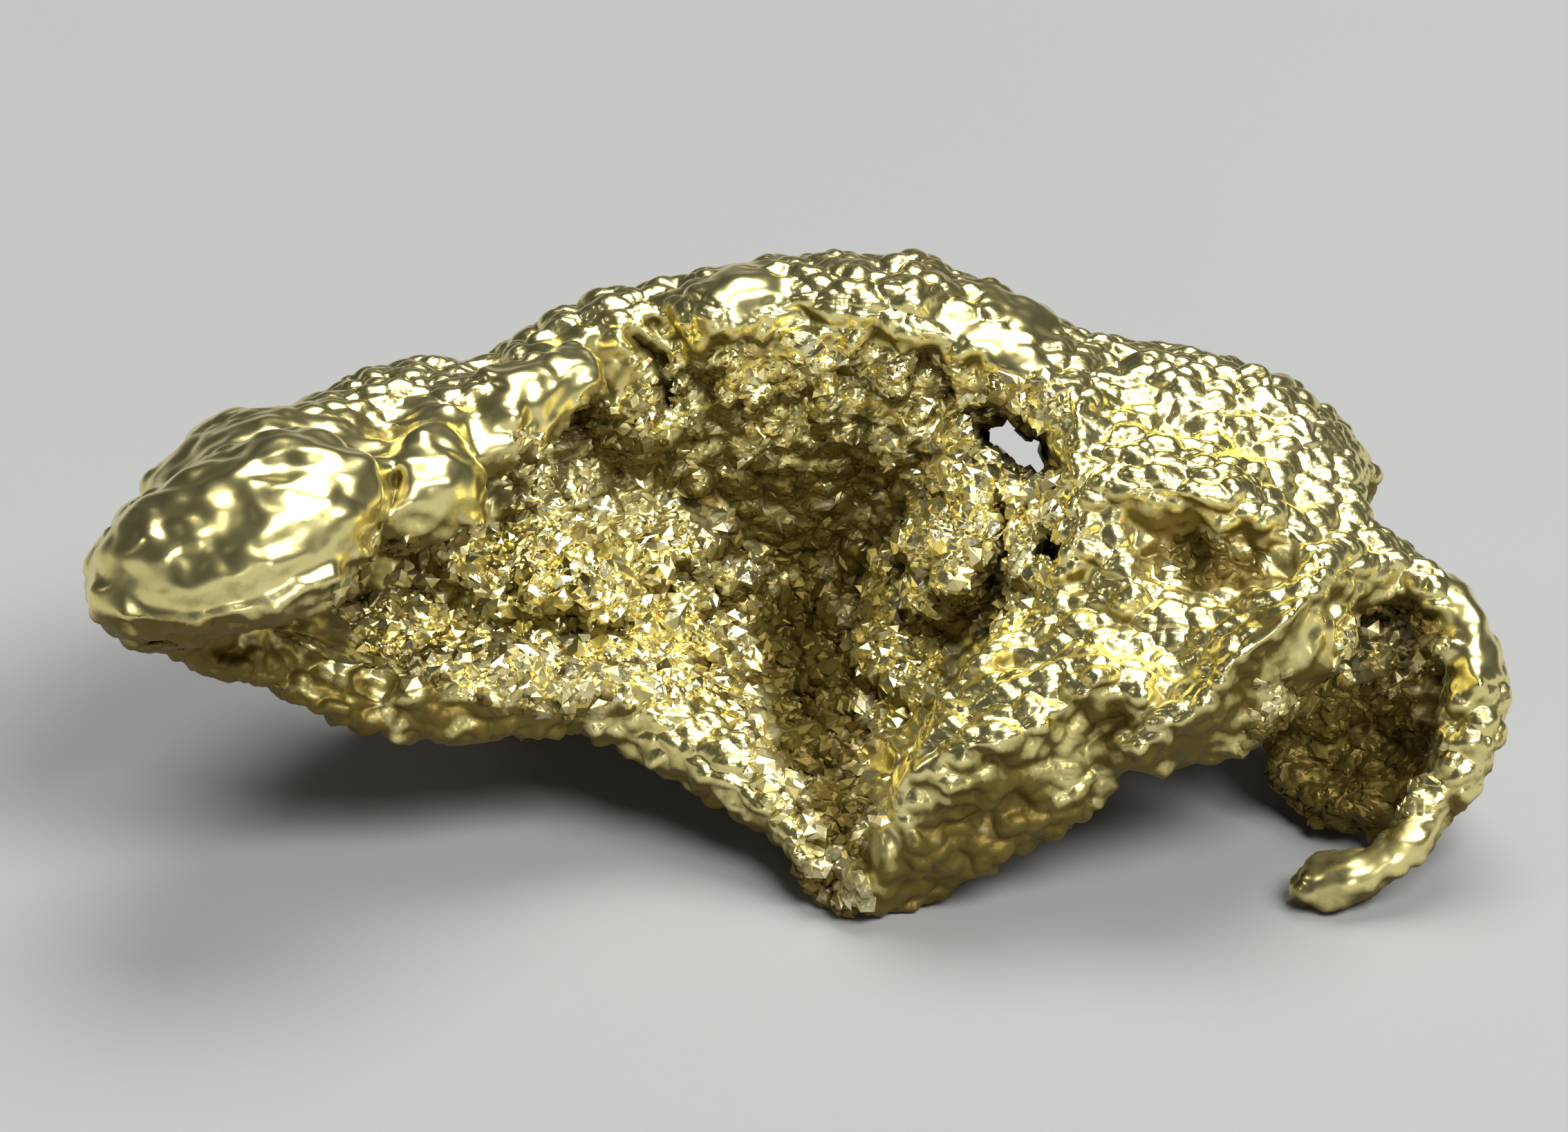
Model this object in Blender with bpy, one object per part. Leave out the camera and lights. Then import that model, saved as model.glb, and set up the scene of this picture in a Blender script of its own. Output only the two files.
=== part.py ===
"""A gold nugget: one lump of native gold, folded like a thick crumpled leaf.

Sizes are in millimetres in this file and turned into metres by MM.  +Z is up,
+X runs along the nugget and +Y away from the open side of its hollow.  The
finished nugget stands with the middle of its box's underside at the origin.

The shapes are placed on a plane that leans back by LEAN_DEG, because the
hollow opens along that plane's normal:
    u  to the right along the nugget's length,
    v  up the leaning plane,
    w  out of the plane, towards the open side.
The point (0, 0, 0) of that plane is on the ground, near the foot.
"""
import math

import bmesh
import bpy
from mathutils import Matrix, Vector, noise
from mathutils.geometry import intersect_point_line

MM = 0.001
LEAN_DEG = 30.0

# Driving dimensions
LEAF = 0.95            # thickness of the folded leaf
CUP_LEAF = 0.75        # the leaf thins towards the right end
VOXEL = 0.17           # how finely the shapes are fused
FACES = 9400           # triangles kept in the finished solid

RIBS_BETWEEN = 6       # lines of the leaf between two sections
STEPS_BETWEEN = 5      # points between two points of a section

# Relief: how far it stands from the fused shapes, and how wide its lumps are.
CRUMPLE_HEIGHT = 0.26
CRUMPLE_WIDTH = 2.1
PEBBLE_HEIGHT = 0.17
PEBBLE_WIDTH = 0.62

# The bowl: sections of the leaf at u, from its lower rim over the floor and up
# the back wall to the rolled upper lip, as (v, w).
BOWL = [
    (-9.0, [(4.75, 1.3), (4.7, 0.7), (4.8, 0.2), (5.0, -0.1), (5.25, -0.2),
            (5.5, 0.1), (5.7, 0.5), (5.75, 1.1), (5.6, 1.8)]),
    (-7.6, [(3.9, 1.0), (3.9, 0.0), (4.1, -1.2), (4.7, -2.0), (5.4, -2.1),
            (6.1, -1.7), (6.6, -0.9), (6.65, 0.2), (6.35, 1.5)]),
    (-6.0, [(3.25, 0.4), (3.3, -0.9), (3.8, -2.3), (4.7, -3.1), (5.7, -3.2),
            (6.7, -2.7), (7.2, -1.8), (7.25, -0.6), (6.85, 0.7)]),
    (-4.6, [(3.2, -0.2), (3.3, -1.6), (3.9, -3.1), (4.9, -3.8), (6.0, -3.8),
            (6.9, -3.3), (7.5, -2.5), (7.6, -1.5), (7.3, -0.6)]),
    (-3.0, [(3.05, -0.6), (3.25, -2.0), (3.9, -3.6), (5.1, -4.3), (6.4, -4.3),
            (7.5, -3.8), (8.1, -2.9), (8.2, -2.0), (7.9, -1.3)]),
    (-1.6, [(2.6, -0.7), (3.0, -2.0), (3.8, -3.7), (5.1, -4.6), (6.6, -4.6),
            (7.7, -4.1), (8.45, -3.3), (8.7, -2.4), (8.4, -1.6)]),
    (-0.2, [(1.5, -0.6), (2.2, -1.8), (3.4, -3.5), (5.0, -4.5), (6.5, -4.6),
            (7.8, -4.2), (8.75, -3.4), (9.05, -2.5), (8.7, -1.8)]),
    (1.3, [(0.45, 0.1), (1.4, -1.3), (2.8, -2.8), (4.5, -3.9), (6.1, -4.2),
           (7.6, -4.1), (8.75, -3.4), (9.1, -2.5), (8.7, -1.8)]),
    (2.6, [(0.9, 0.0), (1.8, -1.0), (3.1, -2.2), (4.6, -3.0), (6.0, -3.3),
           (7.3, -3.3), (8.2, -2.9), (8.5, -2.2), (8.25, -1.5)]),
    (3.6, [(1.5, 0.3), (2.4, -0.3), (3.6, -1.1), (4.8, -1.7), (5.9, -2.1),
           (6.9, -2.3), (7.6, -2.3), (7.95, -1.9), (7.8, -1.3)]),
]

# The hood: the leaf folded over forwards, right of the bowl.  Sections run from
# its lower front edge up the front, over the crest and down its back.
HOOD = [
    (3.3, [(1.6, 0.2), (2.2, 0.7), (3.1, 0.2), (4.2, -0.6), (5.4, -1.2),
           (6.6, -1.6), (7.7, -1.9), (8.0, -2.8), (7.2, -4.0), (5.6, -4.6), (4.0, -4.8)]),
    (4.3, [(2.6, 0.1), (2.75, 0.6), (3.6, 0.4), (4.7, 0.0), (5.8, -0.4),
           (6.8, -0.9), (7.7, -1.7), (7.9, -2.8), (7.0, -4.1), (5.4, -4.8), (3.6, -5.0)]),
    (5.4, [(2.6, 0.0), (2.7, 0.5), (3.6, 0.5), (4.7, 0.1), (5.8, -0.3),
           (6.8, -0.9), (7.6, -1.8), (7.6, -2.9), (6.8, -4.0), (5.6, -4.6), (4.4, -4.7)]),
    (6.5, [(3.1, -0.2), (3.3, 0.3), (4.1, 0.4), (4.9, 0.0), (5.7, -0.4),
           (6.5, -1.0), (7.3, -1.8), (7.3, -2.8), (6.4, -3.7), (5.2, -4.1), (4.1, -4.1)]),
    (7.4, [(4.2, -0.6), (4.4, -0.1), (4.8, 0.0), (5.3, -0.3), (5.8, -0.7),
           (6.4, -1.2), (6.7, -1.9), (6.6, -2.7), (5.9, -3.2), (4.8, -3.5), (3.8, -3.4)]),
    (8.0, [(4.9, -1.0), (5.0, -0.7), (5.2, -0.7), (5.5, -0.9), (5.8, -1.2),
           (6.0, -1.5), (6.1, -2.0), (5.9, -2.5), (5.3, -2.8), (4.5, -3.0), (3.7, -2.9)]),
]

# The cup at the right end, open towards the hollow's side.
CUP = [
    (6.6, [(4.6, -1.9), (3.9, -2.3), (3.3, -2.4), (2.7, -2.3), (2.2, -2.0)]),
    (7.2, [(5.0, -1.9), (4.2, -2.5), (3.2, -2.6), (2.2, -2.3), (1.6, -1.7)]),
    (8.0, [(5.4, -1.6), (4.5, -2.4), (3.3, -2.6), (2.1, -2.2), (1.4, -1.3)]),
    (8.8, [(4.9, -1.1), (4.1, -1.8), (3.2, -2.1), (2.3, -1.8), (1.6, -0.9)]),
    (9.5, [(4.1, -0.8), (3.7, -1.1), (3.3, -1.3), (2.8, -1.2), (2.3, -0.8)]),
]

# Rolls: worn, rolled edges and folds, as (u, v, w, radius).
ROLLS = {
    "finger": [(-5.6, 6.3, 1.0, 0.8), (-4.9, 6.7, 0.5, 0.72), (-4.2, 7.1, 0.0, 0.68),
               (-3.4, 7.5, -0.4, 0.64), (-2.75, 7.85, -0.6, 0.52)],
    "upper_lip": [(-1.7, 8.4, -1.7, 0.42), (-0.9, 8.65, -1.5, 0.6), (-0.1, 8.8, -1.7, 0.48),
                  (1.2, 8.75, -1.6, 0.55), (2.4, 8.3, -1.7, 0.48), (3.4, 7.85, -1.5, 0.6)],
    "bright_ridge": [(2.2, 8.0, -1.6, 0.3), (3.2, 7.6, -1.3, 0.42), (4.2, 7.2, -0.8, 0.5)],
    "web_margin": [(3.7, 7.4, -1.3, 0.5), (3.55, 6.4, -1.3, 0.45), (3.6, 5.3, -0.9, 0.5),
                   (3.4, 4.3, -0.5, 0.5), (2.9, 3.4, 0.0, 0.5), (2.2, 2.7, 0.5, 0.5)],
    "lower_rim": [(-8.3, 4.25, 1.0, 0.3), (-7.0, 3.5, 0.6, 0.38), (-5.6, 3.25, 0.1, 0.34),
                  (-4.1, 3.1, -0.4, 0.4), (-2.7, 3.0, -0.7, 0.36), (-1.4, 2.5, -0.8, 0.4),
                  (-0.4, 1.7, -0.6, 0.36), (0.5, 0.8, -0.2, 0.42), (1.2, 0.5, 0.0, 0.45)],
    "foot_fold": [(1.5, 0.8, 0.1, 0.6), (1.75, 1.5, 0.5, 0.7), (2.2, 2.2, 0.8, 0.7),
                  (3.1, 2.8, 0.8, 0.7), (4.0, 3.3, 0.7, 0.7)],
    "fold_web": [(1.9, 0.9, 0.0, 0.55), (2.6, 1.3, 0.2, 0.65), (3.3, 1.8, 0.3, 0.65),
                 (4.0, 2.2, 0.3, 0.55)],
    "cup_rim": [(7.6, 5.7, -0.9, 0.5), (8.4, 5.05, -0.7, 0.4), (9.2, 4.5, -0.6, 0.36),
                (9.6, 3.8, -0.5, 0.36), (9.6, 3.0, -0.3, 0.4), (9.3, 2.1, -0.3, 0.42),
                (8.8, 1.5, -0.3, 0.4)],
    "cup_band": [(9.4, 2.9, -0.9, 0.35), (8.7, 3.1, -1.3, 0.3), (8.1, 3.2, -1.9, 0.3)],
    "hook": [(8.9, 1.6, -0.3, 0.38), (8.6, 1.05, -0.1, 0.45), (8.0, 0.72, -0.2, 0.42),
             (7.2, 0.5, -0.45, 0.38)],
    "diagonal_ridge": [(4.7, 2.6, 0.7, 0.42), (5.4, 3.1, 0.9, 0.42), (6.1, 3.8, 0.9, 0.45),
                       (6.8, 4.5, 0.6, 0.5), (7.4, 5.0, 0.1, 0.5)],
    "lower_bulge": [(4.2, 2.5, 0.3, 0.5), (5.0, 2.55, 0.3, 0.55), (5.9, 2.7, 0.2, 0.5)],
    "under_fold": [(1.4, 0.6, -0.1, 0.6), (1.9, 1.9, -1.8, 0.6), (2.5, 2.75, -3.6, 0.75),
                   (3.2, 3.6, -4.4, 0.85)],
    "left_keel": [(-6.2, 4.3, -3.7, 0.8), (-5.0, 4.0, -4.4, 1.05), (-3.8, 3.9, -4.6, 1.1),
                  (-2.4, 4.2, -4.5, 0.9)],
    "back_fold": [(-3.2, 5.2, -4.6, 0.7), (-2.2, 6.3, -4.9, 0.75), (-1.2, 7.3, -4.6, 0.7)],
    "back_crease": [(1.6, 4.6, -4.3, 0.8), (2.4, 5.8, -4.4, 0.8), (3.4, 7.0, -4.0, 0.7)],
}

# Lumps: (u, v, w), radii along u, v and w, and turn in the leaning plane.
LUMPS = {
    "thumb": ((-7.7, 5.45, 2.5), (2.35, 1.3, 1.35), 22.0),
    "thumb_root": ((-8.7, 5.1, 1.5), (1.2, 1.05, 1.3), 20.0),
    "thumb_heel": ((-6.6, 6.0, 1.6), (1.5, 0.9, 1.1), 20.0),
    "second_lump": ((-5.2, 6.2, 1.3), (1.0, 0.95, 1.0), 30.0),
    "boulder": ((2.45, 5.4, -2.3), (0.95, 1.2, 0.8), 0.0),
    "foot_lobe": ((2.5, 1.75, 0.2), (1.5, 0.85, 0.8), 28.0),
    "left_base": ((-4.2, 4.3, -4.1), (2.3, 1.2, 1.2), 5.0),
    "right_base": ((2.5, 3.0, -3.2), (1.4, 1.0, 0.9), 20.0),
    "left_shelf": ((-3.5, 6.3, -3.2), (1.55, 1.5, 0.75), -10.0),
    "floor_ledge": ((-3.2, 4.7, -3.1), (2.3, 0.75, 0.7), -8.0),
    "hood_brow": ((5.6, 6.1, -0.3), (1.9, 0.75, 0.6), -14.0),
    "hood_left": ((4.3, 4.4, -0.1), (0.9, 0.6, 0.6), 35.0),
    "cup_bulge": ((7.6, 3.4, -2.1), (0.8, 0.9, 0.6), 0.0),
    "back_boss": ((-5.8, 5.8, -3.2), (1.9, 1.2, 0.9), -20.0),
    "back_knob": ((5.7, 6.3, -4.1), (1.7, 1.0, 0.8), 15.0),
}

# Creases and pockets pressed into the skin: points (u, v, w), width and depth.
CREASES = {
    "finger_cleft": ([(-2.2, 8.5, -1.2), (-2.15, 7.9, -1.6), (-2.0, 7.2, -2.4)], 0.45, 0.55),
    "thumb_crease": ([(-6.1, 7.2, 1.6), (-5.9, 6.2, 2.4), (-6.1, 5.2, 2.2)], 0.4, 0.35),
    "lump_crease": ([(-4.5, 7.5, 0.6), (-4.35, 6.6, 1.0), (-4.4, 5.9, 0.8)], 0.35, 0.3),
    "trough": ([(0.6, 6.0, -3.9), (-0.2, 4.6, -3.6), (-0.4, 3.4, -2.9), (0.3, 2.2, -1.6)],
               0.8, 0.35),
    "hood_pocket": ([(5.1, 5.15, 0.4), (5.8, 5.15, 0.4), (6.5, 5.0, 0.2)], 0.5, 0.6),
    "left_pocket": ([(3.9, 4.9, 0.1), (4.4, 4.95, 0.4)], 0.4, 0.4),
    "front_pocket": ([(4.3, 3.0, 1.2), (4.6, 3.5, 1.1)], 0.45, 0.5),
    "fold_dent": ([(1.9, 1.6, 1.3), (2.0, 1.0, 1.1), (2.6, 1.2, 1.0)], 0.35, 0.28),
    "arch_notch": ([(-4.4, 8.0, -1.6), (-4.3, 7.7, -0.8)], 0.3, 0.3),
    "back_valley": ([(-0.3, 8.4, -5.0), (0.3, 6.6, -5.4), (0.4, 4.8, -5.2)], 0.8, 0.4),
    "left_valley": ([(-4.3, 7.2, -4.2), (-3.9, 5.8, -5.0)], 0.7, 0.4),
    "hood_valley": ([(4.2, 8.0, -3.6), (4.4, 6.6, -5.0), (4.6, 5.2, -5.6)], 0.6, 0.4),
}

# Worn areas, rubbed smooth: centre (u, v, w) and radius.
WORN = [
    ((-7.8, 5.4, 2.6), 3.0),
    ((-4.3, 7.2, 0.0), 1.7),
    ((2.2, 1.4, 0.6), 1.7),
    ((8.3, 0.8, 0.0), 1.2),
]

# The ragged hole through the wall beside the boulder: middle and corner radii.
HOLE_MIDDLE = (3.12, 6.7)
HOLE_RADII = (0.42, 0.28, 0.46, 0.3, 0.4, 0.26, 0.36, 0.3, 0.44)

# The finish: bright native gold, a little greenish, with a dull skin of wear.
GOLD_COLOUR = (0.83, 0.66, 0.28, 1.0)
GOLD_ROUGHNESS = 0.32


def lean(u, v, w):
    """A point of the leaning plane as a world point, in metres."""
    tilt = math.radians(LEAN_DEG)
    y = v * math.sin(tilt) - w * math.cos(tilt)
    z = v * math.cos(tilt) + w * math.sin(tilt)
    return Vector((u, y, z)) * MM


def smooth_line(points, between):
    """More points along a smooth line through the given ones."""
    found = []
    last = len(points) - 1
    for i in range(last):
        before, a = points[max(i - 1, 0)], points[i]
        b, after = points[i + 1], points[min(i + 2, last)]
        for step in range(between):
            t = step / between
            found.append(0.5 * (2 * a + (b - before) * t
                                + (2 * before - 5 * a + 4 * b - after) * t ** 2
                                + (3 * a - before - 3 * b + after) * t ** 3))
    found.append(points[last].copy())
    return found


def new_object(name, mesh):
    """Link a mesh to the scene as an object."""
    thing = bpy.data.objects.new(name, mesh)
    bpy.context.scene.collection.objects.link(thing)
    return thing


def leaf(name, sections, thickness):
    """A thick leaf lofted through its sections."""
    ribs = [smooth_line([lean(u, v, w) for v, w in section], STEPS_BETWEEN)
            for u, section in sections]
    lines = [smooth_line(list(line), RIBS_BETWEEN) for line in zip(*ribs)]
    model = bmesh.new()
    grid = [[model.verts.new(point) for point in line] for line in lines]
    for line, following in zip(grid, grid[1:]):
        for i in range(len(line) - 1):
            model.faces.new((line[i], line[i + 1], following[i + 1], following[i]))
    mesh = bpy.data.meshes.new(name)
    model.to_mesh(mesh)
    model.free()
    thing = new_object(name, mesh)
    solid = thing.modifiers.new("Thickness", "SOLIDIFY")
    solid.thickness = thickness * MM
    solid.offset = 0.0
    return thing


def roll(name, points):
    """A worn roll or ridge: a round tube whose radius varies."""
    curve = bpy.data.curves.new(name, "CURVE")
    curve.dimensions = "3D"
    curve.bevel_depth = MM
    curve.bevel_resolution = 3
    curve.use_fill_caps = True
    line = smooth_line([Vector((*lean(u, v, w), r)) for u, v, w, r in points], STEPS_BETWEEN)
    spline = curve.splines.new("POLY")
    spline.points.add(len(line) - 1)
    for point, place in zip(spline.points, line):
        point.co = (*place[:3], 1.0)
        point.radius = place[3]
    return new_object(name, curve)


def lump(name, centre, radii, turn_deg):
    """A rounded lump: a ball stretched along u, v and w."""
    model = bmesh.new()
    bmesh.ops.create_icosphere(model, subdivisions=3, radius=MM)
    mesh = bpy.data.meshes.new(name)
    model.to_mesh(mesh)
    model.free()
    # Local x, y and z are u, v and w, so the ball is stretched before it leans.
    stretch = Matrix.Diagonal((*radii, 1.0))
    turn = Matrix.Rotation(math.radians(turn_deg), 4, "Z")
    lean_back = Matrix.Rotation(math.radians(90.0 - LEAN_DEG), 4, "X")
    mesh.transform(Matrix.Translation(lean(*centre)) @ lean_back @ turn @ stretch)
    return new_object(name, mesh)


def evaluated_mesh(thing):
    """The object's mesh with its modifiers applied, in world space."""
    bpy.context.view_layer.update()
    depsgraph = bpy.context.evaluated_depsgraph_get()
    mesh = bpy.data.meshes.new_from_object(thing.evaluated_get(depsgraph))
    mesh.transform(thing.matrix_world)
    return mesh


def fuse(name, things):
    """One closed skin over every shape, as if pressed together in clay."""
    together = bmesh.new()
    for thing in things:
        together.from_mesh(evaluated_mesh(thing))
        bpy.data.objects.remove(thing)
    mesh = bpy.data.meshes.new(name)
    together.to_mesh(mesh)
    together.free()
    fused = new_object(name, mesh)
    skin = fused.modifiers.new("Skin", "REMESH")
    skin.mode = "VOXEL"
    skin.voxel_size = VOXEL * MM
    ease = fused.modifiers.new("Ease", "SMOOTH")
    ease.factor = 0.5
    ease.iterations = 6
    return fused


def wear_at(place):
    """How worn the surface is at a point: 0 rough, 1 rubbed smooth."""
    most = 0.0
    for centre, radius in WORN:
        far = (place - lean(*centre)).length / (radius * MM)
        most = max(most, min(1.0, 2.0 * (1.0 - far)))
    return most


def crease_at(place):
    """How deep the creases and pockets are at a point, in millimetres."""
    deepest = 0.0
    for points, width, depth in CREASES.values():
        line = [lean(*point) for point in points]
        for start, end in zip(line, line[1:]):
            along = intersect_point_line(place, start, end)[1]
            nearest = start.lerp(end, min(1.0, max(0.0, along)))
            far = (place - nearest).length / (width * MM)
            deepest = max(deepest, depth * math.exp(-far * far))
    return deepest


def relief_at(place):
    """Height of the lumps, pebbles and creases at a point, in metres."""
    wear = wear_at(place)
    crumple = noise.noise(place / (CRUMPLE_WIDTH * MM))
    near = noise.voronoi(place / (PEBBLE_WIDTH * MM))[0]
    pebble = 0.45 - near[0]
    height = CRUMPLE_HEIGHT * crumple + PEBBLE_HEIGHT * pebble * (1.0 - 0.85 * wear)
    return (height - crease_at(place)) * MM


def add_relief(thing):
    """Move every point of the skin along its normal by the relief."""
    model = bmesh.new()
    model.from_mesh(thing.data)
    model.normal_update()
    for point in model.verts:
        point.co = point.co + point.normal * relief_at(point.co)
    model.to_mesh(thing.data)
    model.free()


def ragged_hole():
    """A cutter for the hole, pushed through the wall along w."""
    model = bmesh.new()
    u, v = HOLE_MIDDLE
    ring = []
    for i, radius in enumerate(HOLE_RADII):
        angle = math.tau * i / len(HOLE_RADII)
        ring.append(model.verts.new(lean(u + radius * math.cos(angle),
                                         v + radius * math.sin(angle), -7.0)))
    face = model.faces.new(ring)
    grown = bmesh.ops.extrude_face_region(model, geom=[face])["geom"]
    shift = lean(0.0, 0.0, 7.5)
    for part in grown:
        if isinstance(part, bmesh.types.BMVert):
            part.co += shift
    bmesh.ops.recalc_face_normals(model, faces=model.faces)
    mesh = bpy.data.meshes.new("hole_cutter")
    model.to_mesh(mesh)
    model.free()
    return new_object("hole_cutter", mesh)


def ground_block():
    """A cutter whose top is the ground, which leaves small flat feet."""
    model = bmesh.new()
    bmesh.ops.create_cube(model, size=40.0 * MM)
    mesh = bpy.data.meshes.new("ground_cutter")
    model.to_mesh(mesh)
    model.free()
    mesh.transform(Matrix.Translation((0.0, 0.0, -20.0 * MM)))
    return new_object("ground_cutter", mesh)


def cut(thing, cutter):
    """Take a cutter's shape away from an object for good."""
    boolean = thing.modifiers.new("Cut", "BOOLEAN")
    boolean.operation = "DIFFERENCE"
    boolean.object = cutter
    mesh = evaluated_mesh(thing)
    thing.modifiers.clear()
    thing.data = mesh
    bpy.data.objects.remove(cutter)


def stand_on_origin(thing):
    """Bring the middle of the box's underside to the origin."""
    corners = [Vector(corner) for corner in thing.bound_box]
    low = Vector([min(corner[i] for corner in corners) for i in range(3)])
    high = Vector([max(corner[i] for corner in corners) for i in range(3)])
    middle = (low + high) / 2.0
    thing.data.transform(Matrix.Translation((-middle.x, -middle.y, -low.z)))


def gold():
    """The nugget's one material."""
    material = bpy.data.materials.new("native_gold")
    material.use_nodes = True
    shader = material.node_tree.nodes["Principled BSDF"]
    shader.inputs["Base Color"].default_value = GOLD_COLOUR
    shader.inputs["Roughness"].default_value = GOLD_ROUGHNESS
    shader.inputs["Metallic"].default_value = 1.0
    return material


def main():
    for thing in list(bpy.data.objects):
        bpy.data.objects.remove(thing)
    shapes = [leaf("bowl", BOWL, LEAF), leaf("hood", HOOD, LEAF), leaf("cup", CUP, CUP_LEAF)]
    shapes += [roll(name, points) for name, points in ROLLS.items()]
    shapes += [lump(name, *values) for name, values in LUMPS.items()]
    fused = fuse("fused", shapes)
    nugget = new_object("gold_nugget", evaluated_mesh(fused))
    bpy.data.objects.remove(fused)
    add_relief(nugget)
    fewer = nugget.modifiers.new("Facets", "DECIMATE")
    fewer.ratio = FACES / (2.0 * len(nugget.data.polygons))
    nugget.data = evaluated_mesh(nugget)
    nugget.modifiers.clear()
    cut(nugget, ragged_hole())
    cut(nugget, ground_block())
    stand_on_origin(nugget)
    nugget.data.materials.clear()
    nugget.data.materials.append(gold())


main()
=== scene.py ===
# %% [markdown]
# # A gold nugget, 20 mm long
# The real thing is one lump of native gold: a thick leaf that was folded into a hollow,
# then rolled about in a stream bed.  Water wore its outer folds smooth, while the sheltered
# inside kept the sugary crystals that it grew with.  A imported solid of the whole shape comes
# first.  Everything below gives it a finer skin, a crust of grains, a finish and a studio.

# %% Load the solid nugget
import math

import bmesh
import bpy
import numpy as np
from mathutils import Matrix, Vector, noise
from mathutils.bvhtree import BVHTree


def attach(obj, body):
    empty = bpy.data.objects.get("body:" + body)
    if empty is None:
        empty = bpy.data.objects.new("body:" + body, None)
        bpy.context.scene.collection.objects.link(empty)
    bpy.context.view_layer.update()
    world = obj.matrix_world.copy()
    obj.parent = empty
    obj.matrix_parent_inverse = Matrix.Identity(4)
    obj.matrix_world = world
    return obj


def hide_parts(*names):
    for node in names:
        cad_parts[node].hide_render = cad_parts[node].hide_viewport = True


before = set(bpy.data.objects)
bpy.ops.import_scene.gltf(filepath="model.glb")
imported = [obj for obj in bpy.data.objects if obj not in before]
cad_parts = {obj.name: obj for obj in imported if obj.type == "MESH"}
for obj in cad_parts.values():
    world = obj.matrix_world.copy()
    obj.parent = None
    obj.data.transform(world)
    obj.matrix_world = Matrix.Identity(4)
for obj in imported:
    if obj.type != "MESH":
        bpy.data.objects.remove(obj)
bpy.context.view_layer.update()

noise.seed_set(5)              # otherwise noise_vector takes its seed from the clock
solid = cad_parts["gold_nugget"]
print("solid nugget:", len(solid.data.polygons), "faces")

# %% [markdown]
# ## A bench measured in millimetres
# Blender counts in metres, where this nugget is only 0.02 long and many tools stop being
# precise.  So the shapes are made a thousand times too large, as if on a bench where one
# unit is one millimetre, and shrunk at the end.  Places on the nugget are given on a plane
# that leans back by 30 degrees, because the hollow opens straight out of that plane:
# u runs right, v runs up the plane, and w comes out of it.

# %% The bench and the leaning plane
MM = 0.001
LEAN = math.radians(30.0)
PLANE_ZERO = np.array((-0.0727, -3.7761, 0.0))     # where u = v = w = 0, in millimetres
AXIS_U = np.array((1.0, 0.0, 0.0))
AXIS_V = np.array((0.0, math.sin(LEAN), math.cos(LEAN)))
AXIS_W = np.array((0.0, -math.cos(LEAN), math.sin(LEAN)))


def from_plane(u, v, w):
    """A place on the leaning plane as a point of the bench."""
    return PLANE_ZERO + u * AXIS_U + v * AXIS_V + w * AXIS_W


def to_plane(points):
    """The u, v and w of many points."""
    away = points - PLANE_ZERO
    return away @ AXIS_U, away @ AXIS_V, away @ AXIS_W


def new_object(name, mesh):
    """Put a mesh in the scene."""
    thing = bpy.data.objects.new(name, mesh)
    bpy.context.scene.collection.objects.link(thing)
    return thing


def points_of(mesh):
    """A mesh's points as an array, three numbers to a row."""
    found = np.empty(len(mesh.vertices) * 3)
    mesh.vertices.foreach_get("co", found)
    return found.reshape(-1, 3)


def normals_of(mesh):
    """The way that each point of a mesh faces."""
    found = np.empty(len(mesh.vertices) * 3)
    mesh.vertex_normals.foreach_get("vector", found)
    return found.reshape(-1, 3)


def move_points(mesh, moves):
    """Shift each point by its own row of moves."""
    mesh.vertices.foreach_set("co", (points_of(mesh) + moves).ravel())
    mesh.update()


def keep_layer(mesh, name, values):
    """Store one number for each point of a mesh, for the finish to read."""
    layer = mesh.attributes.new(name, "FLOAT", "POINT")
    layer.data.foreach_set("value", values.astype(np.float32))


def read_layer(mesh, name):
    """The numbers that keep_layer stored."""
    found = np.empty(len(mesh.vertices), np.float32)
    mesh.attributes[name].data.foreach_get("value", found)
    return found.astype(float)


def settle(thing):
    """Apply every modifier for good."""
    depsgraph = bpy.context.evaluated_depsgraph_get()
    thing.data = bpy.data.meshes.new_from_object(thing.evaluated_get(depsgraph))
    thing.modifiers.clear()


def tree_of(mesh):
    """The mesh as a tree that rays can be shot at."""
    return BVHTree.FromPolygons([v.co for v in mesh.vertices],
                                [p.vertices for p in mesh.polygons])


print("leaning plane: v points", AXIS_V.round(2), "and w points", AXIS_W.round(2))

# %% [markdown]
# ## A fine, even skin
# The solid has flat facets a third of a millimetre wide.  A voxel remesh lays an even net
# over it, and a short smoothing melts the facets away, as wear does.  Sculpting by hand
# could do the same, but a net of even squares takes relief of any kind without stretching.
# The remesh also melts together whatever overlaps.  So two wedges fill the sharp corners under
# the arch and beside the left wall, and balls back the wall where it is as thin as paper and
# fill the gaps that the wedges leave.

# %% Where gold fills in
# Balls that back the thin wall or fill narrow gaps: each has its u, v, w and radius.
WALL_BACKING = [(0.0, 6.3, -4.7, 0.35), (0.15, 6.1, -4.7, 0.38), (0.3, 5.9, -4.75, 0.4),
                (0.4, 5.6, -4.75, 0.4), (0.4, 5.3, -4.7, 0.38), (0.3, 5.0, -4.6, 0.32)]
GAP_FILLS = [(-2.6, 8.2, -1.9, 0.6), (-2.5, 7.8, -2.2, 0.7), (-2.3, 7.3, -2.7, 0.8),
             (-1.9, 7.9, -2.1, 0.6), (-1.8, 7.4, -2.7, 0.7), (-1.7, 6.7, -3.4, 0.7),
             (1.6, 7.0, -2.9, 0.75), (2.1, 7.05, -2.6, 0.65), (2.5, 7.1, -2.3, 0.55),
             (1.9, 6.5, -3.1, 0.7), (1.6, 6.0, -3.7, 0.7), (1.3, 5.4, -4.2, 0.7)]
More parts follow.
